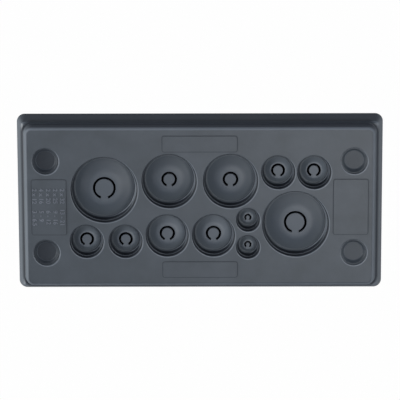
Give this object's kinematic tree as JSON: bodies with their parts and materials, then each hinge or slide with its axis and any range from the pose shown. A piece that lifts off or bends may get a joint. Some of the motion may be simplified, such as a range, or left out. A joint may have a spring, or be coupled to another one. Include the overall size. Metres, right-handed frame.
{
  "type": "cable entry plate",
  "caption": "Rectangular elastomer cable entry plate with conical pierceable membranes in stepped round wells, corner screw wells and a flared sealing skirt.",
  "frame": {"origin": "centre of the back rim, on the panel plane that the skirt seals on", "axes": "+Z out of the front face, +X along the plate's length, +Y across it towards the side with the slim pair beside the right large entry"},
  "size_m": [0.174, 0.0856, 0.0128],
  "materials": {
    "elastomer": "moulded satin"
  },
  "bodies": {
    "root": {"entry_plate": "elastomer"}
  },
  "joints": []
}
